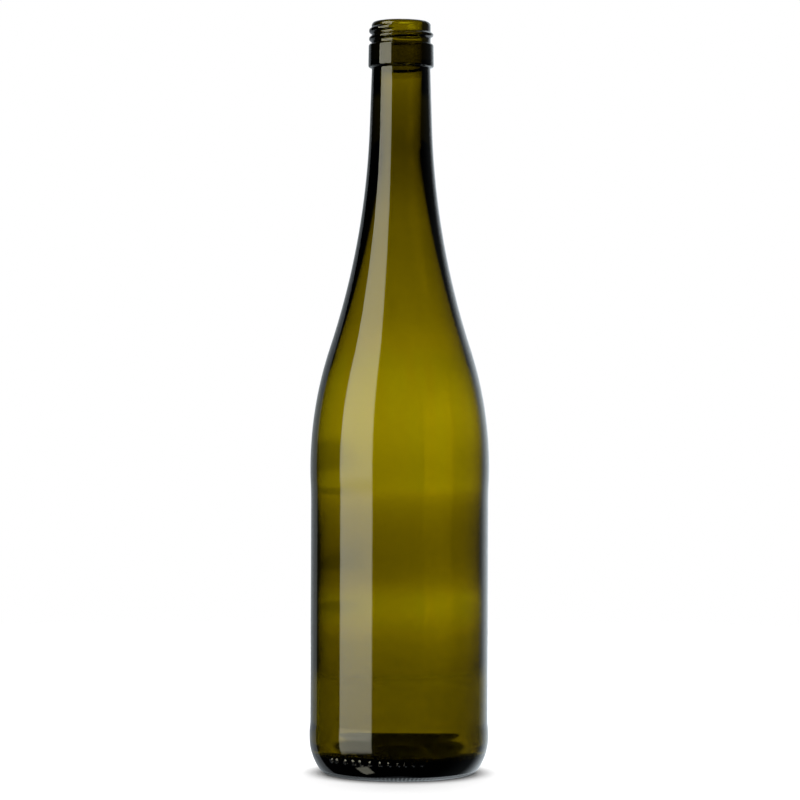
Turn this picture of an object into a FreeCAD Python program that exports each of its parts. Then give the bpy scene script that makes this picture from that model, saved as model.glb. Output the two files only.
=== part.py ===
"""Rhine wine bottle: a tall slender glass bottle with long sloping shoulders and a screw finish.

One piece of blown glass, so one solid.  Millimetres, +Z up, origin at the centre of the base,
on the plane that the bottle stands on.  The glass is drawn once as a closed half outline, up
the outside and down the inside, and turned about Z.  The thread, the dots on the heel and the
knurling round the base are worked on that turned body.  The front is the side at -Y.
"""
import FreeCAD, Part
import math
import os

from FreeCAD import Placement, Rotation, Vector

# ---------------------------------------------------------------- driving dimensions
# Overall
overall_height = 325.0
body_diameter = 77.5

# Finish: the screw mouth that takes the cap
bore_diameter = 18.5
finish_diameter = 25.6          # plain wall that carries the thread
lip_outer_rounding = 1.7
lip_inner_rounding = 1.0
collar_rise = 1.25              # how far the collar's upper edge stands out of the finish wall
collar_flare = 0.15             # how much its radius grows towards the lower edge
collar_drop = 9.6               # from the mouth down to the collar's upper edge
collar_length = 10.2
collar_upper_rounding = 1.0
collar_lower_rounding = 0.8
collar_root_fillet = 0.7

# Thread: one right-hand ridge that starts at the front
thread_rise = 1.1               # how far its crest stands out of the finish wall
thread_pitch = 3.5
thread_width = 2.5
thread_drop = 3.05              # from the mouth down to the middle of the ridge's start
thread_turns = 1.72
thread_fade_turns = 0.16        # stretch at each end over which the ridge rises from the wall
thread_root_depth = 0.5         # how far the ridge is rooted in the wall
thread_sections_per_turn = 24

# Neck and shoulder
collar_overhang = 1.55          # how far the collar's lower edge stands out of the neck
neck_length = 26.0              # of the straight taper, from the collar's underside
neck_widening = 0.87            # how much the neck's radius grows along the taper
shoulder_height = 132.0         # top of the straight body
shoulder_sweep_ratio = 1.85     # tangent length of the hollow curve over that of the full curve

# Body and label panel
panel_recess = 0.35
panel_upper_blend = 14.0
panel_lower_blend = 5.0

# Heel and base
heel_height = 15.5              # widest ring of the heel
heel_band = 2.0                 # straight band above that ring
heel_radius = 24.0
heel_corner_radius = 5.0
bearing_width = 1.6             # flat ring that the bottle stands on
push_up_height = 5.0
push_up_ratio = 5.0             # tangent length of the dome over that of its blend to the ring

# Inside of the neck: the bore narrows to a throat and opens again below it
throat_narrowing = 0.35         # how much smaller the throat's radius is than the bore's
throat_drop = 49.6              # from the mouth down to the throat
throat_bend = 6.2               # height over which the wall turns outward again
flare_slope = 0.107             # radius gained for each millimetre down, below the bend
flare_sweep_ratio = 2.12        # as the shoulder's, for the inside

# Glass thickness of the body: thin under the shoulder, a thick ring left by blowing, then
# thicker and thicker down to the heel
upper_wall = 2.1
upper_wall_height = 136.6       # where the inside of the shoulder becomes straight
wave_wall = 3.5
wave_height = 91.0
lower_wall = 2.7
lower_wall_height = 71.0
heel_wall = 3.5
heel_inner_radius = 6.0
base_thickness = 6.2            # at the middle
floor_ring_height = 5.5         # lowest ring of the inside, at the foot of the heel
floor_ratio = 0.25              # tangent length of the blend to that ring over the dome's

# Raised dots on the front of the heel, in degrees round from the front
dot_angles = [-49.5, -44.6, -37.2, -30.8, -25.5, -18.4, -11.5, -5.8, 0.2, 4.5, 9.8, 15.4]
dot_diameter = 2.0
dot_rise = 0.45
dot_height = 8.0

# Knurling: short notches round the outer edge of the standing ring
knurl_count = 120
knurl_depth = 0.3
knurl_slope = 34.0              # degrees between the ground and a notch's bottom

# ---------------------------------------------------------------- derived sizes
body_radius = body_diameter / 2
panel_radius = body_radius - panel_recess
bore_radius = bore_diameter / 2
finish_radius = finish_diameter / 2
collar_radius = finish_radius + collar_rise
neck_top_radius = collar_radius + collar_flare - collar_overhang
neck_foot_radius = neck_top_radius + neck_widening

collar_top = overall_height - collar_drop
collar_bottom = collar_top - collar_length
neck_foot = collar_bottom - neck_length

UP = (0.0, 1.0)
DOWN = (0.0, -1.0)
OUTWARD = (1.0, 0.0)
INWARD = (-1.0, 0.0)


# ---------------------------------------------------------------- drawing the outline
def unit(direction):
    length = math.hypot(*direction)
    return direction[0] / length, direction[1] / length


def in_plane(point):
    """A (radius, height) point as a vector in the XZ plane."""
    return Vector(point[0], 0, point[1])


class Outline:
    """A chain of lines and arcs in the (radius, height) half plane."""

    def __init__(self, start):
        self.here = start
        self.edges = []

    def line_to(self, point):
        self.edges.append(Part.makeLine(in_plane(self.here), in_plane(point)))
        self.here = point

    def arc_to(self, point, leave):
        """Arc that leaves in the direction leave and ends at the point."""
        leave = unit(leave)
        normal = (-leave[1], leave[0])
        chord = (point[0] - self.here[0], point[1] - self.here[1])
        across = chord[0] * normal[0] + chord[1] * normal[1]
        if abs(across) < 1e-7:
            self.line_to(point)
            return
        radius = (chord[0] ** 2 + chord[1] ** 2) / (2 * across)
        centre = (self.here[0] + radius * normal[0], self.here[1] + radius * normal[1])
        to_middle = unit((self.here[0] + point[0] - 2 * centre[0],
                          self.here[1] + point[1] - 2 * centre[1]))
        middle = (centre[0] + to_middle[0] * abs(radius), centre[1] + to_middle[1] * abs(radius))
        arc = Part.Arc(in_plane(self.here), in_plane(middle), in_plane(point))
        self.edges.append(arc.toShape())
        self.here = point

    def sweep_to(self, point, leave, arrive, ratio=1.0):
        """Two arcs, tangent to each other, that leave and arrive in the given directions.

        ratio is the first arc's tangent length over the second's.
        """
        start = self.here
        leave, arrive = unit(leave), unit(arrive)
        chord = (point[0] - start[0], point[1] - start[1])
        along_leave = chord[0] * leave[0] + chord[1] * leave[1]
        along_arrive = chord[0] * arrive[0] + chord[1] * arrive[1]
        square = 2 * ratio * (leave[0] * arrive[0] + leave[1] * arrive[1] - 1)
        linear = -2 * (ratio * along_leave + along_arrive)
        constant = chord[0] ** 2 + chord[1] ** 2
        if abs(square) < 1e-9:
            second = -constant / linear
        else:
            second = (-linear - math.sqrt(linear ** 2 - 4 * square * constant)) / (2 * square)
        first = ratio * second
        near = (start[0] + first * leave[0], start[1] + first * leave[1])
        far = (point[0] - second * arrive[0], point[1] - second * arrive[1])
        share = first / (first + second)
        meeting = (near[0] + (far[0] - near[0]) * share, near[1] + (far[1] - near[1]) * share)
        self.arc_to(meeting, leave)
        self.arc_to(point, (far[0] - near[0], far[1] - near[1]))

    def corner(self, corner, following, rounding):
        """Line to a corner that is rounded off towards the following point."""
        back = unit((self.here[0] - corner[0], self.here[1] - corner[1]))
        ahead = unit((following[0] - corner[0], following[1] - corner[1]))
        half_angle = math.acos(back[0] * ahead[0] + back[1] * ahead[1]) / 2
        setback = rounding / math.tan(half_angle)
        self.line_to((corner[0] + back[0] * setback, corner[1] + back[1] * setback))
        end = (corner[0] + ahead[0] * setback, corner[1] + ahead[1] * setback)
        self.arc_to(end, (-back[0], -back[1]))


def heel_meeting():
    """Where the heel's large arc meets its corner arc: sine and cosine of the angle there."""
    sine = (heel_height - heel_corner_radius) / (heel_radius - heel_corner_radius)
    return sine, math.sqrt(1 - sine ** 2)


def bearing_outer_radius():
    """Outer edge of the standing ring, straight under the corner arc's centre."""
    _, cosine = heel_meeting()
    return body_radius - heel_radius + (heel_radius - heel_corner_radius) * cosine


def draw_base_and_body(outline):
    """Out from the middle of the push-up, round the heel and up to the shoulder."""
    sine, cosine = heel_meeting()
    bearing_outer = bearing_outer_radius()
    meeting = (body_radius - heel_radius * (1 - cosine), heel_height - heel_radius * sine)
    heel_top = heel_height + heel_band
    outline.sweep_to((bearing_outer - bearing_width, 0.0), OUTWARD, OUTWARD, push_up_ratio)
    outline.line_to((bearing_outer, 0.0))
    outline.arc_to(meeting, OUTWARD)
    outline.arc_to((body_radius, heel_height), (sine, cosine))
    outline.line_to((body_radius, heel_top))
    outline.sweep_to((panel_radius, heel_top + panel_lower_blend), UP, UP)
    outline.line_to((panel_radius, shoulder_height - panel_upper_blend))
    outline.sweep_to((body_radius, shoulder_height), UP, UP)


def draw_shoulder_and_neck(outline):
    """The full curve of the shoulder, the hollow curve above it and the neck's taper."""
    taper = (neck_top_radius - neck_foot_radius, neck_length)
    outline.sweep_to((neck_foot_radius, neck_foot), UP, taper, 1 / shoulder_sweep_ratio)


def draw_finish(outline):
    """From the neck's taper round the collar and over the lip into the bore."""
    collar_foot = (collar_radius + collar_flare, collar_bottom)
    collar_edge = (collar_radius, collar_top)
    mouth = (finish_radius, overall_height)
    bore_edge = (bore_radius, overall_height)
    lip_wall = finish_radius - bore_radius
    lip_share = min(1.0, 0.9 * lip_wall / (lip_outer_rounding + lip_inner_rounding))
    outline.corner((neck_top_radius, collar_bottom), collar_foot, collar_root_fillet)
    outline.corner(collar_foot, collar_edge, collar_lower_rounding)
    outline.corner(collar_edge, (finish_radius, collar_top), collar_upper_rounding)
    outline.line_to((finish_radius, collar_top))
    outline.corner(mouth, bore_edge, lip_outer_rounding * lip_share)
    outline.corner(bore_edge, (bore_radius, collar_bottom), lip_inner_rounding * lip_share)


def draw_inside(outline):
    """Down the bore and the inner wall to the middle of the floor."""
    throat = (bore_radius - throat_narrowing, overall_height - throat_drop)
    flare_start = (throat[0] + flare_slope * throat_bend / 2, throat[1] - throat_bend)
    upper_radius = panel_radius - upper_wall
    heel_inside = panel_radius - heel_wall
    outline.line_to((bore_radius, collar_bottom))
    outline.line_to(throat)
    outline.arc_to(flare_start, DOWN)
    outline.sweep_to((upper_radius, upper_wall_height), (flare_slope, -1.0), DOWN,
                     flare_sweep_ratio)
    outline.sweep_to((panel_radius - wave_wall, wave_height), DOWN, DOWN)
    outline.sweep_to((panel_radius - lower_wall, lower_wall_height), DOWN, DOWN)
    outline.line_to((heel_inside, floor_ring_height + heel_inner_radius))
    outline.arc_to((heel_inside - heel_inner_radius, floor_ring_height), DOWN)
    outline.sweep_to((0.0, push_up_height + base_thickness), INWARD, INWARD, floor_ratio)


def make_glass():
    """The turned body, closed by a line up the axis through the base."""
    outline = Outline((0.0, push_up_height))
    draw_base_and_body(outline)
    draw_shoulder_and_neck(outline)
    draw_finish(outline)
    draw_inside(outline)
    outline.line_to((0.0, push_up_height))
    half_section = Part.Face(Part.Wire(outline.edges))
    return half_section.revolve(Vector(0, 0, 0), Vector(0, 0, 1), 360)


# ---------------------------------------------------------------- the thread
def smooth_step(value):
    value = min(max(value, 0.0), 1.0)
    return value * value * (3 - 2 * value)


def thread_section(turn):
    """Rounded section of the ridge, upright in the plane through the axis at this turn."""
    from_end = min(turn, thread_turns - turn)
    rise = smooth_step(from_end / thread_fade_turns)
    sunk = -0.3 * thread_root_depth
    crest = finish_radius + sunk + (thread_rise - sunk) * rise
    root = finish_radius - thread_root_depth
    half_width = thread_width / 2 * (0.4 + 0.6 * rise)
    middle = overall_height - thread_drop - thread_pitch * turn
    upper = Vector(root, 0, middle + half_width)
    lower = Vector(root, 0, middle - half_width)
    ridge = Part.Arc(lower, Vector(crest, 0, middle), upper).toShape()
    section = Part.Wire([Part.makeLine(upper, lower), ridge])
    section.rotate(Vector(0, 0, 0), Vector(0, 0, 1), -90 - 360 * turn)
    return section


def make_thread():
    count = round(thread_turns * thread_sections_per_turn)
    sections = [thread_section(thread_turns * index / count) for index in range(count + 1)]
    return Part.makeLoft(sections, True, False)


# ---------------------------------------------------------------- heel dots and knurling
def make_dot(angle):
    """A ball sunk in the heel, so that a low round cap stands out of it."""
    ball_radius = ((dot_diameter / 2) ** 2 + dot_rise ** 2) / (2 * dot_rise)
    sine = (heel_height - dot_height) / heel_radius
    cosine = math.sqrt(1 - sine ** 2)
    reach = heel_radius - (ball_radius - dot_rise)
    out = body_radius - heel_radius + reach * cosine
    centre = Vector(0, -out, heel_height - reach * sine)
    ball = Part.makeSphere(ball_radius, centre)
    ball.rotate(Vector(0, 0, 0), Vector(0, 0, 1), angle)
    return ball


def make_notch(angle):
    """A V-shaped bar laid across the outer edge of the standing ring."""
    pitch_length = 2 * math.pi * bearing_outer_radius() / knurl_count
    half_width = 0.42 * pitch_length
    proud = 0.5 * knurl_depth
    half_length = 2 * math.sqrt(2 * heel_corner_radius * knurl_depth)
    corners = [Vector(0, -half_length, knurl_depth),
               Vector(half_width, -half_length, -proud),
               Vector(-half_width, -half_length, -proud)]
    profile = Part.Face(Part.makePolygon(corners + corners[:1]))
    bar = profile.extrude(Vector(0, 2 * half_length, 0))
    slope = math.radians(knurl_slope)
    touch = Vector(0,
                   -bearing_outer_radius() - heel_corner_radius * math.sin(slope),
                   heel_corner_radius * (1 - math.cos(slope)))
    bar.Placement = Placement(touch, Rotation(Vector(1, 0, 0), -knurl_slope))
    bar.rotate(Vector(0, 0, 0), Vector(0, 0, 1), angle)
    return bar


def make_bottle():
    dots = [make_dot(angle) for angle in dot_angles]
    notches = [make_notch(360 * index / knurl_count) for index in range(knurl_count)]
    glass = make_glass().cut(Part.makeCompound(notches))
    return glass.fuse([make_thread()] + dots)


# ---------------------------------------------------------------- output
def main():
    os.makedirs("parts", exist_ok=True)
    bottle = make_bottle().Solids[0]
    bottle.exportStep("parts/bottle.step")
    print("glass volume, ml: %.1f" % (bottle.Volume / 1000))


main()
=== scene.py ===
"""Olive glass rhine wine bottle on a white table, in soft studio light.

The whole bottle is one piece of glass, turned from one outline: out under the base, up the
outside, over the lip and down the inside.  The thread, the raised dots on the heel and the
knurling under it are worked on that turned glass.  Metres, +Z up; the front is the side at -Y.
"""

import math

import bmesh
import bpy
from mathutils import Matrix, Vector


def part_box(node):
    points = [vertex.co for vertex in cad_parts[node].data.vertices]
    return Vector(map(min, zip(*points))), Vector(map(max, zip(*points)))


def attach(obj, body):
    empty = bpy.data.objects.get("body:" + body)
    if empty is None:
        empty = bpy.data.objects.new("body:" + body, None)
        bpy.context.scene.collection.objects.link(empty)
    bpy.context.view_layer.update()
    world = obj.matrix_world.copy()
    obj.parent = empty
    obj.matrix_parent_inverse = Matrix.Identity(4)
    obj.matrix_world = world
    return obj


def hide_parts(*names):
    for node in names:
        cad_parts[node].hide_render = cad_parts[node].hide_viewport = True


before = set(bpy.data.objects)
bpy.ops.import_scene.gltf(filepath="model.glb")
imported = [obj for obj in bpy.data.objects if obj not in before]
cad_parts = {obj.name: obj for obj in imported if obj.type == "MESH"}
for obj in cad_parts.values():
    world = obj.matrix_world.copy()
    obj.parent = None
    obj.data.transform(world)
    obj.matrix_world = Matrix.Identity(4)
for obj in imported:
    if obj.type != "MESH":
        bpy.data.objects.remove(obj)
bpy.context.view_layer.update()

MM = 0.001
UP, DOWN, OUTWARD, INWARD = (0.0, 1.0), (0.0, -1.0), (1.0, 0.0), (-1.0, 0.0)
WHOLE_TURN = 2 * math.pi

# ---------------------------------------------------------------- sizes of the bottle
low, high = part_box("bottle")
HEIGHT = high.z - low.z
BODY_RADIUS = min(high.x, -low.x, high.y, -low.y)

# Finish
BORE_RADIUS = 9.25 * MM
FINISH_RADIUS = 12.8 * MM
LIP_OUTER_ROUNDING = 1.7 * MM
LIP_INNER_ROUNDING = 1.0 * MM
COLLAR_RADIUS = FINISH_RADIUS + 1.25 * MM
COLLAR_FLARE = 0.15 * MM
COLLAR_TOP = HEIGHT - 9.6 * MM
COLLAR_BOTTOM = COLLAR_TOP - 10.2 * MM
COLLAR_UPPER_ROUNDING = 1.0 * MM
COLLAR_LOWER_ROUNDING = 0.8 * MM
COLLAR_ROOT_FILLET = 0.7 * MM

# Thread
THREAD_RISE = 1.1 * MM
THREAD_PITCH = 3.5 * MM
THREAD_HALF_WIDTH = 1.55 * MM
THREAD_START = HEIGHT - 3.05 * MM
THREAD_TURNS = 1.72
THREAD_FADE_TURNS = 0.16
THREAD_FLANK = 0.8              # share of the half width that the flank takes
FINISH_TOLERANCE = 0.02 * MM    # a point this near the finish's wall lies on it

# Neck and shoulder
NECK_TOP_RADIUS = COLLAR_RADIUS + COLLAR_FLARE - 1.55 * MM
NECK_FOOT_RADIUS = NECK_TOP_RADIUS + 0.87 * MM
NECK_LENGTH = 26.0 * MM
NECK_FOOT = COLLAR_BOTTOM - NECK_LENGTH
SHOULDER_HEIGHT = 132.0 * MM
SHOULDER_SWEEP_RATIO = 1.85

# Body, heel and base
PANEL_RADIUS = BODY_RADIUS - 0.35 * MM
PANEL_UPPER_BLEND = 14.0 * MM
PANEL_LOWER_BLEND = 5.0 * MM
HEEL_HEIGHT = 15.5 * MM
HEEL_TOP = HEEL_HEIGHT + 2.0 * MM
HEEL_RADIUS = 24.0 * MM
HEEL_CORNER_RADIUS = 5.0 * MM
BEARING_WIDTH = 1.6 * MM
PUSH_UP_HEIGHT = 5.0 * MM
PUSH_UP_RATIO = 5.0

# Inside
THROAT_RADIUS = BORE_RADIUS - 0.35 * MM
THROAT_HEIGHT = HEIGHT - 49.6 * MM
THROAT_BEND = 6.2 * MM
FLARE_SLOPE = 0.107
FLARE_SWEEP_RATIO = 2.12
UPPER_WALL, UPPER_WALL_HEIGHT = 2.1 * MM, 136.6 * MM
WAVE_WALL, WAVE_HEIGHT = 3.5 * MM, 91.0 * MM
LOWER_WALL, LOWER_WALL_HEIGHT = 2.7 * MM, 71.0 * MM
HEEL_WALL = 3.5 * MM
HEEL_INNER_RADIUS = 6.0 * MM
BASE_THICKNESS = 6.2 * MM
FLOOR_RING_HEIGHT = 5.5 * MM
FLOOR_RATIO = 0.25

# Uneven wall: how far the hollow sits to the right in the lower body, the height where that
# starts and the one where it starts to end, and over how much height each comes about
UNEVEN_WALL = 0.3 * MM
UNEVEN_START, UNEVEN_START_LENGTH = 25.0 * MM, 35.0 * MM
UNEVEN_END, UNEVEN_END_LENGTH = 78.0 * MM, 40.0 * MM

# Raised dots on the heel, in degrees round from the front
DOT_ANGLES = (-49.5, -44.6, -37.2, -30.8, -25.5, -18.4, -11.5, -5.8, 0.2, 4.5, 9.8, 15.4)
DOT_RADIUS = 1.1 * MM
DOT_RISE = 0.45 * MM
DOT_HEIGHT = 8.0 * MM
DOT_EDGE = 0.3                  # share of the radius over which a dot meets the heel

# Knurling round the outer edge of the standing ring
KNURL_COUNT = 120
KNURL_DEPTH = 0.3 * MM
KNURL_HEIGHT = 0.85 * MM
KNURL_HALF_LENGTH = 0.9 * MM
KNURL_BREADTH = 0.7             # under 1 makes the notches wider than the ridges between them

# How finely the glass is turned
COARSE_STEPS = 216
FINE_STEPS = 720
FLATNESS = 0.01 * MM            # how far an arc may stand off the straight piece in its place
FINE_SPACING = 0.3 * MM
THREAD_SPACING = 0.2 * MM
FINE_TOP = 10.8 * MM            # the finely turned strip of the heel ends here
JOIN_GAP = 0.6 * MM

# ---------------------------------------------------------------- the camera
CAMERA_DISTANCE = 1.25
CAMERA_HEIGHT = 0.1625
CAMERA_ROLL = math.radians(0.19)
SENSOR_WIDTH = 36.0
FOCAL_LENGTH = 129.8
CAMERA_SHIFT = -0.0037          # of the frame, downwards, as a share of its width


# ---------------------------------------------------------------- the outline
def unit(direction):
    length = math.hypot(*direction)
    return direction[0] / length, direction[1] / length


class Outline:
    """Points along a chain of lines and arcs, as (radius, height)."""

    def __init__(self, start):
        self.points = [start]

    def line_to(self, point, spacing=None):
        start = self.points[-1]
        count = math.ceil(math.dist(start, point) / spacing) if spacing else 1
        for index in range(1, count + 1):
            share = index / count
            self.points.append((start[0] + (point[0] - start[0]) * share,
                                start[1] + (point[1] - start[1]) * share))

    def arc_to(self, point, leave, spacing=None):
        """Arc that leaves in the direction leave and ends at the point."""
        leave = unit(leave)
        normal = (-leave[1], leave[0])
        start = self.points[-1]
        chord = (point[0] - start[0], point[1] - start[1])
        across = chord[0] * normal[0] + chord[1] * normal[1]
        if abs(across) < 1e-10:
            self.line_to(point, spacing)
            return
        radius = (chord[0] ** 2 + chord[1] ** 2) / (2 * across)
        centre = (start[0] + radius * normal[0], start[1] + radius * normal[1])
        first = math.atan2(start[1] - centre[1], start[0] - centre[0])
        last = math.atan2(point[1] - centre[1], point[0] - centre[0])
        turn = (last - first + math.pi) % WHOLE_TURN - math.pi
        step = 2 * math.acos(1 - FLATNESS / abs(radius))
        if spacing:
            step = min(step, spacing / abs(radius))
        count = max(2, math.ceil(abs(turn) / step))
        for index in range(1, count):
            angle = first + turn * index / count
            self.points.append((centre[0] + abs(radius) * math.cos(angle),
                                centre[1] + abs(radius) * math.sin(angle)))
        self.points.append(point)

    def sweep_to(self, point, leave, arrive, ratio=1.0):
        """Two arcs that are tangent to each other.

        ratio is the first arc's tangent length over the second's.
        """
        start = self.points[-1]
        leave, arrive = unit(leave), unit(arrive)
        chord = (point[0] - start[0], point[1] - start[1])
        along_leave = chord[0] * leave[0] + chord[1] * leave[1]
        along_arrive = chord[0] * arrive[0] + chord[1] * arrive[1]
        square = 2 * ratio * (leave[0] * arrive[0] + leave[1] * arrive[1] - 1)
        linear = -2 * (ratio * along_leave + along_arrive)
        constant = chord[0] ** 2 + chord[1] ** 2
        if abs(square) < 1e-9:
            second = -constant / linear
        else:
            second = (-linear - math.sqrt(linear ** 2 - 4 * square * constant)) / (2 * square)
        first = ratio * second
        near = (start[0] + first * leave[0], start[1] + first * leave[1])
        far = (point[0] - second * arrive[0], point[1] - second * arrive[1])
        share = first / (first + second)
        meeting = (near[0] + (far[0] - near[0]) * share, near[1] + (far[1] - near[1]) * share)
        self.arc_to(meeting, leave)
        self.arc_to(point, (far[0] - near[0], far[1] - near[1]))

    def corner(self, corner, following, rounding, spacing=None):
        """Line to a corner that is rounded off towards the following point."""
        start = self.points[-1]
        back = unit((start[0] - corner[0], start[1] - corner[1]))
        ahead = unit((following[0] - corner[0], following[1] - corner[1]))
        half_angle = math.acos(back[0] * ahead[0] + back[1] * ahead[1]) / 2
        setback = rounding / math.tan(half_angle)
        self.line_to((corner[0] + back[0] * setback, corner[1] + back[1] * setback), spacing)
        end = (corner[0] + ahead[0] * setback, corner[1] + ahead[1] * setback)
        self.arc_to(end, (-back[0], -back[1]))


HEEL_SINE = (HEEL_HEIGHT - HEEL_CORNER_RADIUS) / (HEEL_RADIUS - HEEL_CORNER_RADIUS)
HEEL_COSINE = math.sqrt(1 - HEEL_SINE ** 2)
HEEL_CENTRE = BODY_RADIUS - HEEL_RADIUS
BEARING_RADIUS = HEEL_CENTRE + (HEEL_RADIUS - HEEL_CORNER_RADIUS) * HEEL_COSINE


def heel_point(height):
    """A point of the heel's large arc and the upward direction there."""
    sine = (HEEL_HEIGHT - height) / HEEL_RADIUS
    cosine = math.sqrt(1 - sine ** 2)
    return (HEEL_CENTRE + HEEL_RADIUS * cosine, height), (sine, cosine)


def push_up_outline():
    outline = Outline((0.0, PUSH_UP_HEIGHT))
    outline.sweep_to((BEARING_RADIUS - BEARING_WIDTH, 0.0), OUTWARD, OUTWARD, PUSH_UP_RATIO)
    return outline.points


def heel_outline():
    """The strip that carries the knurling and the dots, from the standing ring up the heel."""
    outline = Outline((BEARING_RADIUS, 0.0))
    meeting = (HEEL_CENTRE + HEEL_RADIUS * HEEL_COSINE, HEEL_HEIGHT - HEEL_RADIUS * HEEL_SINE)
    outline.arc_to(meeting, OUTWARD, FINE_SPACING)
    outline.arc_to(heel_point(FINE_TOP)[0], (HEEL_SINE, HEEL_COSINE), FINE_SPACING)
    return outline.points


def upper_outline():
    """From the heel up the outside, over the lip and down the inside to the floor."""
    start, upward = heel_point(FINE_TOP + JOIN_GAP)
    outline = Outline(start)
    outline.arc_to((BODY_RADIUS, HEEL_HEIGHT), upward)
    outline.line_to((BODY_RADIUS, HEEL_TOP))
    outline.sweep_to((PANEL_RADIUS, HEEL_TOP + PANEL_LOWER_BLEND), UP, UP)
    outline.line_to((PANEL_RADIUS, SHOULDER_HEIGHT - PANEL_UPPER_BLEND))
    outline.sweep_to((BODY_RADIUS, SHOULDER_HEIGHT), UP, UP)
    taper = (NECK_TOP_RADIUS - NECK_FOOT_RADIUS, NECK_LENGTH)
    outline.sweep_to((NECK_FOOT_RADIUS, NECK_FOOT), UP, taper, 1 / SHOULDER_SWEEP_RATIO)

    collar_foot = (COLLAR_RADIUS + COLLAR_FLARE, COLLAR_BOTTOM)
    collar_edge = (COLLAR_RADIUS, COLLAR_TOP)
    bore_edge = (BORE_RADIUS, HEIGHT)
    outline.corner((NECK_TOP_RADIUS, COLLAR_BOTTOM), collar_foot, COLLAR_ROOT_FILLET)
    outline.corner(collar_foot, collar_edge, COLLAR_LOWER_ROUNDING)
    outline.corner(collar_edge, (FINISH_RADIUS, COLLAR_TOP), COLLAR_UPPER_ROUNDING)
    outline.line_to((FINISH_RADIUS, COLLAR_TOP))
    outline.corner((FINISH_RADIUS, HEIGHT), bore_edge, LIP_OUTER_ROUNDING, THREAD_SPACING)
    outline.corner(bore_edge, (BORE_RADIUS, COLLAR_BOTTOM), LIP_INNER_ROUNDING)

    outline.line_to((BORE_RADIUS, COLLAR_BOTTOM))
    outline.line_to((THROAT_RADIUS, THROAT_HEIGHT))
    flare_start = (THROAT_RADIUS + FLARE_SLOPE * THROAT_BEND / 2, THROAT_HEIGHT - THROAT_BEND)
    heel_inside = PANEL_RADIUS - HEEL_WALL
    outline.arc_to(flare_start, DOWN)
    outline.sweep_to((PANEL_RADIUS - UPPER_WALL, UPPER_WALL_HEIGHT), (FLARE_SLOPE, -1.0), DOWN,
                     FLARE_SWEEP_RATIO)
    outline.sweep_to((PANEL_RADIUS - WAVE_WALL, WAVE_HEIGHT), DOWN, DOWN)
    outline.sweep_to((PANEL_RADIUS - LOWER_WALL, LOWER_WALL_HEIGHT), DOWN, DOWN)
    outline.line_to((heel_inside, FLOOR_RING_HEIGHT + HEEL_INNER_RADIUS))
    outline.arc_to((heel_inside - HEEL_INNER_RADIUS, FLOOR_RING_HEIGHT), DOWN)
    outline.sweep_to((0.0, PUSH_UP_HEIGHT + BASE_THICKNESS), INWARD, INWARD, FLOOR_RATIO)
    return outline.points


# ---------------------------------------------------------------- turning the glass
def deselect_everything():
    bpy.ops.object.select_all(action="DESELECT")


def turn_strip(name, points, steps):
    """Draw an outline as a chain of edges in the XZ plane and turn it about the Z axis."""
    deselect_everything()
    bpy.ops.mesh.primitive_plane_add(size=MM)
    strip = bpy.context.object
    strip.name = strip.data.name = name
    bpy.ops.object.mode_set(mode="EDIT")
    bpy.ops.mesh.select_mode(type="VERT")
    bpy.ops.mesh.merge(type="CENTER")
    first = (points[0][0], 0, points[0][1])
    bpy.ops.transform.translate(value=first)
    for here, there in zip(points, points[1:]):
        stroke = (there[0] - here[0], 0, there[1] - here[1])
        bpy.ops.mesh.extrude_vertices_move(TRANSFORM_OT_translate={"value": stroke})
    bpy.ops.mesh.select_all(action="SELECT")
    bpy.ops.mesh.spin(steps=steps, angle=WHOLE_TURN, use_auto_merge=True,
                      center=(0, 0, 0), axis=(0, 0, 1))
    bpy.ops.mesh.select_all(action="SELECT")
    bpy.ops.mesh.remove_doubles(threshold=0.002 * MM)
    bpy.ops.object.mode_set(mode="OBJECT")
    return strip


def bridge(glass, lowest, highest):
    """Join the two open rims that lie between two heights."""
    bpy.ops.mesh.select_all(action="DESELECT")
    mesh = bmesh.from_edit_mesh(glass.data)
    for edge in mesh.edges:
        height = (edge.verts[0].co.z + edge.verts[1].co.z) / 2
        if edge.is_boundary and lowest < height < highest:
            edge.select_set(True)
    bmesh.update_edit_mesh(glass.data)
    bpy.ops.mesh.bridge_edge_loops()


def turn_glass():
    """Turn the three strips, join them into one mesh and close the two seams between them."""
    strips = [turn_strip("push_up", push_up_outline(), COARSE_STEPS),
              turn_strip("heel", heel_outline(), FINE_STEPS),
              turn_strip("bottle_glass", upper_outline(), COARSE_STEPS)]
    for strip in strips:
        strip.select_set(True)
    bpy.ops.object.join()
    glass = bpy.context.object
    bpy.ops.object.mode_set(mode="EDIT")
    bpy.ops.mesh.select_mode(type="EDGE")
    bridge(glass, -FINE_SPACING, FINE_SPACING)
    bridge(glass, FINE_TOP - FINE_SPACING, FINE_TOP + JOIN_GAP + FINE_SPACING)
    bpy.ops.mesh.select_all(action="SELECT")
    bpy.ops.mesh.normals_make_consistent(inside=False)
    bpy.ops.object.mode_set(mode="OBJECT")
    return glass


# ---------------------------------------------------------------- thread, dots and knurling
def smooth_step(value):
    value = min(max(value, 0.0), 1.0)
    return value * value * (3 - 2 * value)


def thread_weight(point):
    """How high the thread stands here: full along the middle of the ridge, nothing beside it."""
    if abs(math.hypot(point.x, point.y) - FINISH_RADIUS) > FINISH_TOLERANCE:
        return 0.0
    first_turn = (-math.pi / 2 - math.atan2(point.y, point.x)) / WHOLE_TURN % 1
    weight = 0.0
    for whole_turns in range(2):
        turn = first_turn + whole_turns
        rise = smooth_step(min(turn, THREAD_TURNS - turn) / THREAD_FADE_TURNS)
        away = abs(point.z - (THREAD_START - THREAD_PITCH * turn))
        flank = smooth_step((1 - away / THREAD_HALF_WIDTH) / THREAD_FLANK)
        weight = max(weight, rise * flank)
    return weight


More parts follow.
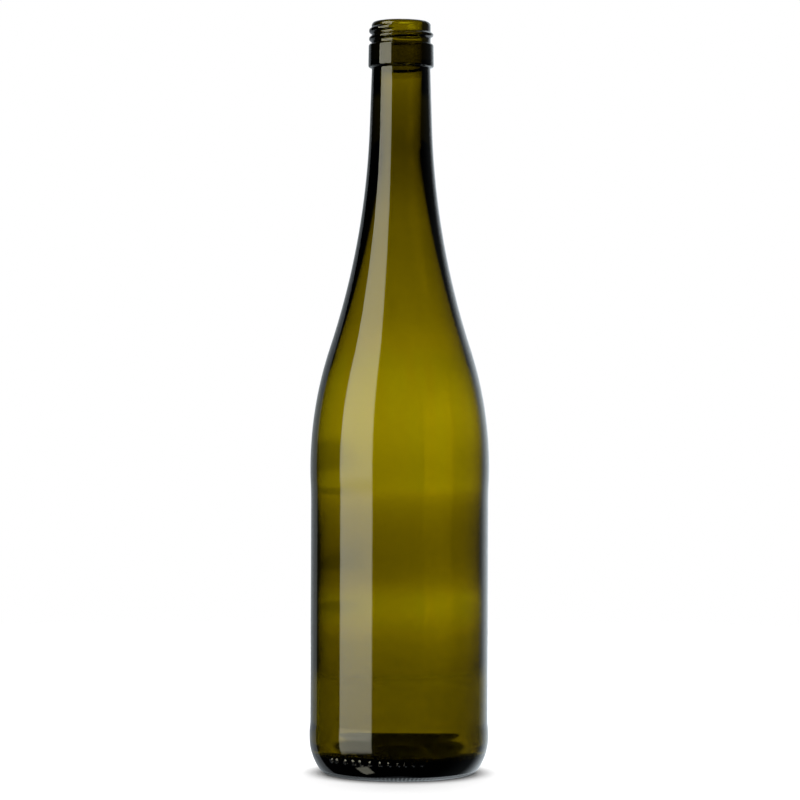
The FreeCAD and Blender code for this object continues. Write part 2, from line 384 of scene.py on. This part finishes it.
def dot_weight(point):
    """A low round cap at each dot, on the outside of the heel only."""
    radius = math.hypot(point.x, point.y)
    if abs(point.z - DOT_HEIGHT) > DOT_RADIUS or radius < HEEL_CENTRE + 0.9 * HEEL_RADIUS:
        return 0.0
    angle = math.atan2(point.x, -point.y)
    weight = 0.0
    for degrees in DOT_ANGLES:
        beside = (angle - math.radians(degrees)) * radius
        away = math.hypot(beside, point.z - DOT_HEIGHT) / DOT_RADIUS
        if away < 1:
            weight = math.sqrt(1 - away ** 2) * smooth_step((1 - away) / DOT_EDGE)
    return weight


def knurl_weight(point):
    """A short notch at each step round the outer edge of the standing ring."""
    away = abs(point.z - KNURL_HEIGHT) / KNURL_HALF_LENGTH
    if away >= 1 or math.hypot(point.x, point.y) < BEARING_RADIUS:
        return 0.0
    phase = math.atan2(point.y, point.x) * KNURL_COUNT
    return (1 - away ** 2) * (0.5 + 0.5 * math.cos(phase)) ** KNURL_BREADTH


def uneven_wall_weight(point):
    """Full on the inside of the lower body and nothing on the outside, whose shape stays."""
    if math.hypot(point.x, point.y) > PANEL_RADIUS - 0.5 * LOWER_WALL:
        return 0.0
    started = smooth_step((point.z - UNEVEN_START) / UNEVEN_START_LENGTH)
    return started * (1 - smooth_step((point.z - UNEVEN_END) / UNEVEN_END_LENGTH))


def work_relief(glass, name, weight_of, depth, direction="NORMAL"):
    """Move the surface by depth times a weight painted on its points."""
    group = glass.vertex_groups.new(name=name)
    for vertex in glass.data.vertices:
        weight = weight_of(vertex.co)
        if weight > 0:
            group.add([vertex.index], weight, "REPLACE")
    relief = glass.modifiers.new(name, "DISPLACE")
    relief.vertex_group = name
    relief.direction = direction
    relief.mid_level = 0
    relief.strength = depth
    bpy.ops.object.modifier_apply(modifier=name)
    glass.vertex_groups.remove(glass.vertex_groups[name])


def make_glass():
    glass = turn_glass()
    work_relief(glass, "thread", thread_weight, THREAD_RISE)
    work_relief(glass, "heel dots", dot_weight, DOT_RISE)
    work_relief(glass, "knurling", knurl_weight, -KNURL_DEPTH)
    work_relief(glass, "uneven wall", uneven_wall_weight, UNEVEN_WALL, "X")
    bpy.ops.object.shade_smooth()
    return glass


# ---------------------------------------------------------------- shader maths
class Value:
    """A shader socket that can be used in sums; each sum adds a Math node."""

    def __init__(self, tree, socket):
        self.tree, self.socket = tree, socket

    def _math(self, operation, *values):
        """A Math node on sockets and plain numbers, in the order that they are given in."""
        node = self.tree.nodes.new("ShaderNodeMath")
        node.operation = operation
        for socket, value in zip(node.inputs, values):
            if isinstance(value, Value):
                self.tree.links.new(value.socket, socket)
            else:
                socket.default_value = value
        return Value(self.tree, node.outputs[0])

    def __add__(self, other):
        return self._math("ADD", self, other)

    __radd__ = __add__

    def __sub__(self, other):
        return self._math("SUBTRACT", self, other)

    def __rsub__(self, other):
        return self._math("SUBTRACT", other, self)

    def __mul__(self, other):
        return self._math("MULTIPLY", self, other)

    __rmul__ = __mul__

    def __truediv__(self, other):
        return self._math("DIVIDE", self, other)

    def greatest(self, other):
        return self._math("MAXIMUM", self, other)

    def least(self, other):
        return self._math("MINIMUM", self, other)

    def absolute(self):
        return self._math("ABSOLUTE", self)

    def arcsine(self):
        return self._math("ARCSINE", self)

    def angle_to(self, other):
        return self._math("ARCTAN2", self, other)

    def between(self, start, end):
        """0 at start, 1 at end and smooth in between."""
        node = self.tree.nodes.new("ShaderNodeMapRange")
        node.interpolation_type = "SMOOTHSTEP"
        self.tree.links.new(self.socket, node.inputs["Value"])
        node.inputs["From Min"].default_value = start
        node.inputs["From Max"].default_value = end
        return Value(self.tree, node.outputs["Result"])

    def belt(self, start, end, edge):
        """1 from start to end, fading to 0 over an edge's width on each side of both."""
        return self.between(start - edge, start + edge) * (1 - self.between(end - edge, end + edge))


class Shader:
    """A material's or the world's node tree, cleared and ready to be written as expressions."""

    def __init__(self, owner):
        owner.use_nodes = True
        self.tree = owner.node_tree
        self.tree.nodes.clear()

    def node(self, kind, settings=(), **sockets):
        """One node: its settings first, then the values or links of its sockets."""
        node = self.tree.nodes.new(kind)
        for name, value in dict(settings).items():
            setattr(node, name, value)
        for name, value in sockets.items():
            socket = node.inputs[name.replace("_", " ")]
            if isinstance(value, Value):
                self.tree.links.new(value.socket, socket)
            elif isinstance(value, bpy.types.NodeSocket):
                self.tree.links.new(value, socket)
            else:
                socket.default_value = value
        return node

    def value(self, node, output):
        return Value(self.tree, node.outputs[output])

    def link(self, output, socket):
        self.tree.links.new(output, socket)

    def tinted(self, colour, tint):
        """A colour socket multiplied by a plain colour, with a Mix node."""
        mix = self.node("ShaderNodeMix", {"data_type": "RGBA", "blend_type": "MULTIPLY"})
        sockets = {socket.identifier: socket for socket in (*mix.inputs, *mix.outputs)}
        sockets["Factor_Float"].default_value = 1.0
        sockets["A_Color"].default_value = tint
        self.link(colour, sockets["B_Color"])
        return sockets["Result_Color"]


# ---------------------------------------------------------------- the glass
GLASS_IOR = 1.52
GLASS_TINT = (1.0, 0.887, 0.35, 1.0)
ABSORPTION_DENSITY = 1400.0     # per metre, where the colour below is black
RED_ABSORPTION, GREEN_ABSORPTION, BLUE_ABSORPTION = 281.0, 293.0, 1300.0

# Slight unevenness of the surface, and streaks drawn out along the bottle.  A scale is how many
# patches there are in a metre along X, Y and Z.
RIPPLE_SCALE = (60.0, 60.0, 14.0)
RIPPLE_STRENGTH, RIPPLE_DEPTH = 0.25, 0.02 * MM
STREAK_SCALE = (170.0, 170.0, 4.0)
STREAK_STRENGTH, STREAK_MIDDLE = 0.12, 0.45

# How much light a wall lets pass where nothing darkens it, and at the least
CLEAREST, DARKEST = 1.03, 0.02

# Belts of painted shade up the glass, as (how much darker, from, to, half the width of an edge).
# These and the sizes of the base below are in millimetres.
PAINTED_SHADE_BELTS = (
    (0.45, COLLAR_BOTTOM / MM - 0.5, COLLAR_TOP / MM + 0.5, 0.6),    # the collar
    (0.20, 301.5, 305.0, 0.6),                                       # just under the collar
    (0.13, 245.0, 300.0, 12.0),                                      # the neck
    (0.13, 190.0, 238.0, 12.0),                                      # the upper shoulder
    (0.09, 82.0, 119.0, 5.0),                                        # the middle of the body
    (0.17, 10.0, 62.0, 5.0),                                         # the lower body
    (0.09, 27.0, 50.0, 6.0),
)

# Painted shade in the thick glass of the base, for the shadow under the bottle: everything up to
# BASE_TOP, and the floor up to FLOOR_TOP inside FLOOR_EDGE.  Each pair is where the darkness
# begins to fade and where it has gone.
BASE_TOP = (8.3, 9.3)
FLOOR_TOP = (11.5, 12.5)
FLOOR_EDGE = (30.0, 32.0)
BASE_PAINTED_SHADE = 1.01


def glass_material():
    """Clear olive glass: a tint at its surfaces, with painted shade in belts and over the base, and
    absorption through its depth.
    """
    material = bpy.data.materials.new("olive glass")
    shader = Shader(material)
    place = shader.node("ShaderNodeTexCoord").outputs["Object"]
    height = shader.value(shader.node("ShaderNodeSeparateXYZ", Vector=place), "Z") / MM

    drawn_out = shader.node("ShaderNodeMapping", Vector=place, Scale=RIPPLE_SCALE)
    ripple = shader.node("ShaderNodeTexNoise", Vector=drawn_out.outputs[0], Scale=1.0, Detail=1.0)
    bump = shader.node("ShaderNodeBump", Height=ripple.outputs["Fac"],
                       Strength=RIPPLE_STRENGTH, Distance=RIPPLE_DEPTH)

    level_place = shader.node("ShaderNodeMapping", Vector=place, Scale=(1.0, 1.0, 0.0))
    distance = shader.node("ShaderNodeVectorMath", {"operation": "LENGTH"},
                           Vector=level_place.outputs[0])
    radius = shader.value(distance, "Value") / MM
    # Painted shade over the base and the floor inside the standing ring, for the shadow under the
    # bottle
    floor = (1 - radius.between(*FLOOR_EDGE)) * (1 - height.between(*FLOOR_TOP))
    base = (1 - height.between(*BASE_TOP)).greatest(floor)
    painted_shade = BASE_PAINTED_SHADE * base
    for strength, start, end, edge in PAINTED_SHADE_BELTS:
        painted_shade = painted_shade + strength * height.belt(start, end, edge)

    along = shader.node("ShaderNodeMapping", Vector=place, Scale=STREAK_SCALE)
    noise = shader.node("ShaderNodeTexNoise", Vector=along.outputs[0], Scale=1.0, Detail=2.0)
    streaks = STREAK_STRENGTH * (shader.value(noise, "Fac") - STREAK_MIDDLE)
    shade = (CLEAREST - painted_shade - streaks).greatest(DARKEST)
    grey = shader.node("ShaderNodeCombineColor", Red=shade, Green=shade, Blue=shade)

    surface = shader.node("ShaderNodeBsdfPrincipled", Roughness=0.0, IOR=GLASS_IOR,
                          Base_Color=shader.tinted(grey.outputs[0], GLASS_TINT),
                          Transmission_Weight=1.0, Normal=bump.outputs[0])
    passed = [1 - rate / ABSORPTION_DENSITY
              for rate in (RED_ABSORPTION, GREEN_ABSORPTION, BLUE_ABSORPTION)]
    depth = shader.node("ShaderNodeVolumeAbsorption", Color=(*passed, 1.0),
                        Density=ABSORPTION_DENSITY)
    shader.node("ShaderNodeOutputMaterial", Surface=surface.outputs[0], Volume=depth.outputs[0])
    return material


# ---------------------------------------------------------------- the table
WHITE = (1.0, 1.0, 1.0, 1.0)
TABLE_RADIUS = 0.9
TABLE_COLOUR = (0.8, 0.8, 0.8, 1.0)
TABLE_LIFT = 0.2                # light that the table gives off, so that it joins the white
TABLE_LIFT_IN_VIEW = 0.3        # and this much more straight from the camera
# The lift fades in over this span round the bottle, which paints shadow on the table round the base
LIFT_START, LIFT_FULL = 0.8 * BODY_RADIUS, 1.15 * BODY_RADIUS
FADE_START, FADE_END = 0.5 * TABLE_RADIUS, 0.98 * TABLE_RADIUS
FADE_START_IN_GLASS, FADE_END_IN_GLASS = 0.28 * TABLE_RADIUS, 0.4 * TABLE_RADIUS


def table_material():
    """White table that keeps the soft shadow under the bottle.  It gives off a little light,
    though none under the bottle, so that round the base it paints shadow on top of the real one,
    and fades out into the white, sooner where seen in glass."""
    material = bpy.data.materials.new("white table")
    shader = Shader(material)
    place = shader.node("ShaderNodeTexCoord").outputs["Object"]
    distance = shader.node("ShaderNodeVectorMath", {"operation": "LENGTH"}, Vector=place)
    away = shader.value(distance, "Value")
    rays = shader.node("ShaderNodeLightPath")

    paint = shader.node("ShaderNodeBsdfDiffuse", Color=TABLE_COLOUR)
    bright = TABLE_LIFT + TABLE_LIFT_IN_VIEW * shader.value(rays, "Is Camera Ray")
    lift = shader.node("ShaderNodeEmission", Color=WHITE,
                       Strength=bright * away.between(LIFT_START, LIFT_FULL))
    both = shader.node("ShaderNodeAddShader")
    shader.link(paint.outputs[0], both.inputs[0])
    shader.link(lift.outputs[0], both.inputs[1])

    in_glass = shader.value(rays, "Is Transmission Ray")
    fade = away.between(FADE_START, FADE_END).greatest(
        away.between(FADE_START_IN_GLASS, FADE_END_IN_GLASS) * in_glass)
    blend = shader.node("ShaderNodeMixShader", Fac=fade)
    shader.link(both.outputs[0], blend.inputs[1])
    shader.link(shader.node("ShaderNodeBsdfTransparent").outputs[0], blend.inputs[2])
    shader.node("ShaderNodeOutputMaterial", Surface=blend.outputs[0])
    return material


# ---------------------------------------------------------------- the studio
# Directions are in degrees: left is round from the front towards -X, rise is up from the horizon,
# and off is away from straight behind.  A pair in brackets is where a change begins and ends.
DEGREES = 180 / math.pi

# The tall soft light left of the front, with its image in the table
STRIP_RIGHT, STRIP_LEFT, STRIP_SIDE_EDGE = 35.5, 82.8, 1.5
STRIP_FOOT, STRIP_TOP, STRIP_END_EDGE = -21.0, 45.0, 2.0
STRIP_FOOT_RISE = (-21.0, -14.0)                # it is half as bright at its foot
STRIP_LIGHT, STRIP_GAIN = 2.7, 1.15             # how bright low down, and how much more higher up
STRIP_GAIN_RISE = (-7.0, -3.0)
IMAGE_RIGHT, IMAGE_LEFT, IMAGE_SIDE_EDGE = 52.0, 76.0, 2.0
IMAGE_FOOT, IMAGE_TOP, IMAGE_END_EDGE = -60.0, -46.0, 1.5
IMAGE_LIGHT = 1.7
LAMP_COLOUR = (1.0, 0.98, 0.78)

# The room that the outside of the glass mirrors elsewhere
UNDER_LIGHT, UNDER_RISE = 0.26, (-75.0, -71.0)
BEHIND_RIGHT = (-156.0, -122.0)
BEHIND_LEFT = (133.5, 136.5)
BEHIND_LEFT_LIGHT, BEHIND_LEFT_GAIN, BEHIND_LEFT_GAIN_AT = 0.3, 0.14, (140.0, 165.0)
ROOM_LIGHT, ROOM_RIGHT_LIGHT, ROOM_RIGHT = 0.006, 0.05, (-125.0, -75.0)
WALL_COLOUR = (0.85, 0.94, 1.0)

# What is seen straight through the glass
BACKDROP_TOP = (7.8, 10.5)
BACKDROP_LEFT, BACKDROP_RIGHT, BACKDROP_SIDES = (10.0, 54.0), (8.0, 58.0), (66.0, 80.0)
BACKDROP_LIGHT, BACKDROP_REST = 0.88, 0.12      # its middle, and all of it up to its top
GLOW_LEFT, GLOW_RIGHT, GLOW_SIDE_EDGE = 3.0, 16.0, 5.0
GLOW_FOOT, GLOW_TOP, GLOW_END_EDGE = -2.5, 3.0, 3.0
GLOW_LIGHT = 0.3
SHADE_LEFT = (1.5, 5.0)
SHADE_FOOT, SHADE_TOP, SHADE_EDGE = -4.6, -2.0, 0.6
SHADE_DEPTH = 0.35
TABLE_RISE = (-10.0, -7.0)

# What is seen in the glass after a mirroring inside it, beside the tall light
INSIDE_LIGHT, INSIDE_RISE = 0.1, (5.8, 6.8)

# The light that falls on the table: from the front, the sides and the back
FRONT_LIGHT, SIDE_LOSS, BACK_LIGHT = 0.7, 0.35, 1.95
SIDE_START, BACK_END = (40.0, 60.0), (40.0, 60.0)


def strip_light(left, rise):
    """The tall soft light, somewhat dimmer low down and at its foot."""
    shape = (left.belt(STRIP_RIGHT, STRIP_LEFT, STRIP_SIDE_EDGE)
             * rise.belt(STRIP_FOOT, STRIP_TOP, STRIP_END_EDGE))
    foot = 0.5 + 0.5 * rise.between(*STRIP_FOOT_RISE)
    return shape * foot * (STRIP_LIGHT + STRIP_GAIN * rise.between(*STRIP_GAIN_RISE))


def strip_image(left, rise):
    """The image of the tall light in the table, which shows low on the heel."""
    return (left.belt(IMAGE_RIGHT, IMAGE_LEFT, IMAGE_SIDE_EDGE)
            * rise.belt(IMAGE_FOOT, IMAGE_TOP, IMAGE_END_EDGE) * IMAGE_LIGHT)


def room_light(left, rise):
    """The room: brightest behind at the right, less so behind at the left and right below."""
    under = UNDER_LIGHT * (1 - rise.between(*UNDER_RISE))
    behind_right = 1 - left.between(*BEHIND_RIGHT)
    behind_left = left.between(*BEHIND_LEFT) * (
        BEHIND_LEFT_LIGHT + BEHIND_LEFT_GAIN * left.between(*BEHIND_LEFT_GAIN_AT))
    dim = ROOM_LIGHT + ROOM_RIGHT_LIGHT * (1 - left.between(*ROOM_RIGHT))
    return dim + behind_left.greatest(behind_right).greatest(under)


def light_behind(off, off_right, rise):
    """The bright backdrop with the table below it, a glow at the right and a shade at the left."""
    off_left = -1 * off_right
    low_down = 1 - rise.between(*BACKDROP_TOP)
    backdrop = 1 - off_left.between(*BACKDROP_LEFT).greatest(off_right.between(*BACKDROP_RIGHT))
    backdrop = backdrop.greatest(off.between(*BACKDROP_SIDES)) * low_down
    glow = (off_right.belt(GLOW_LEFT, GLOW_RIGHT, GLOW_SIDE_EDGE)
            * rise.belt(GLOW_FOOT, GLOW_TOP, GLOW_END_EDGE) * GLOW_LIGHT)
    shade = (off_left.between(*SHADE_LEFT)
             * rise.belt(SHADE_FOOT, SHADE_TOP, SHADE_EDGE) * SHADE_DEPTH)
    table = 1 - rise.between(*TABLE_RISE)
    return (BACKDROP_REST * low_down + BACKDROP_LIGHT * backdrop + glow - shade).greatest(table)


def studio_world():
    """Plain white behind the bottle.  What the glass shows and what lights the table is painted
    by direction: a warm tall light, a cool dim room and a bright backdrop."""
    world = bpy.data.worlds.new("studio")
    bpy.context.scene.world = world
    shader = Shader(world)
    direction = shader.node("ShaderNodeTexCoord").outputs["Generated"]
    parts = shader.node("ShaderNodeSeparateXYZ", Vector=direction)
    x, y, z = (shader.value(parts, name) for name in "XYZ")
    left = (-1 * x).angle_to(-1 * y) * DEGREES
    rise = z.arcsine() * DEGREES
    off = 180 - left.absolute()
    off_right = x.angle_to(y) * DEGREES

    # Refraction through smooth glass counts as glossy too, so mirroring is what isn't that.
    rays = shader.node("ShaderNodeLightPath")
    transmitted = shader.value(rays, "Is Transmission Ray")
    reflected = shader.value(rays, "Is Glossy Ray") * (1 - transmitted)
    scattered = shader.value(rays, "Is Diffuse Ray")
    plain = (1 - reflected) * (1 - transmitted) * (1 - scattered)

    strip = strip_light(left, rise)
    lamp = (strip + strip_image(left, rise)) * reflected
    walls = room_light(left, rise) * reflected

    # Light that was mirrored inside the glass comes from the tall light or from low down.
    straight = light_behind(off, off_right, rise)
    mirrored = shader.value(rays, "Glossy Depth").least(1.0)
    inside = strip + INSIDE_LIGHT * (1 - rise.between(*INSIDE_RISE))
    through = straight + mirrored * (inside - straight)
    soft_light = (FRONT_LIGHT - SIDE_LOSS * left.absolute().between(*SIDE_START)
                  + BACK_LIGHT * (1 - off.between(*BACK_END)))

    level = through * transmitted + soft_light * scattered + plain
    red, green, blue = (level + warm * lamp + cool * walls
                        for warm, cool in zip(LAMP_COLOUR, WALL_COLOUR))
    colour = shader.node("ShaderNodeCombineColor", Red=red, Green=green, Blue=blue)
    light = shader.node("ShaderNodeBackground", Color=colour.outputs[0])
    shader.node("ShaderNodeOutputWorld", Surface=light.outputs[0])


# ---------------------------------------------------------------- the stage
def make_table():
    deselect_everything()
    bpy.ops.mesh.primitive_circle_add(vertices=96, radius=TABLE_RADIUS, fill_type="NGON",
                                      location=(0, 0, low.z))
    table = bpy.context.object
    table.name = "table"
    table.data.materials.append(table_material())
    table.visible_glossy = False


def make_camera():
    data = bpy.data.cameras.new("camera")
    data.sensor_width = SENSOR_WIDTH
    data.lens = FOCAL_LENGTH
    data.shift_y = CAMERA_SHIFT
    camera = bpy.data.objects.new("camera", data)
    camera.location = (0, -CAMERA_DISTANCE, low.z + CAMERA_HEIGHT)
    camera.rotation_euler = (math.pi / 2, -CAMERA_ROLL, 0)
    bpy.context.scene.collection.objects.link(camera)
    bpy.context.scene.camera = camera


# ---------------------------------------------------------------- putting it together
glass = make_glass()
glass.data.materials.append(glass_material())
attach(glass, "root")
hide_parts("bottle")

make_table()
studio_world()
make_camera()
bpy.context.scene.view_settings.view_transform = "Standard"
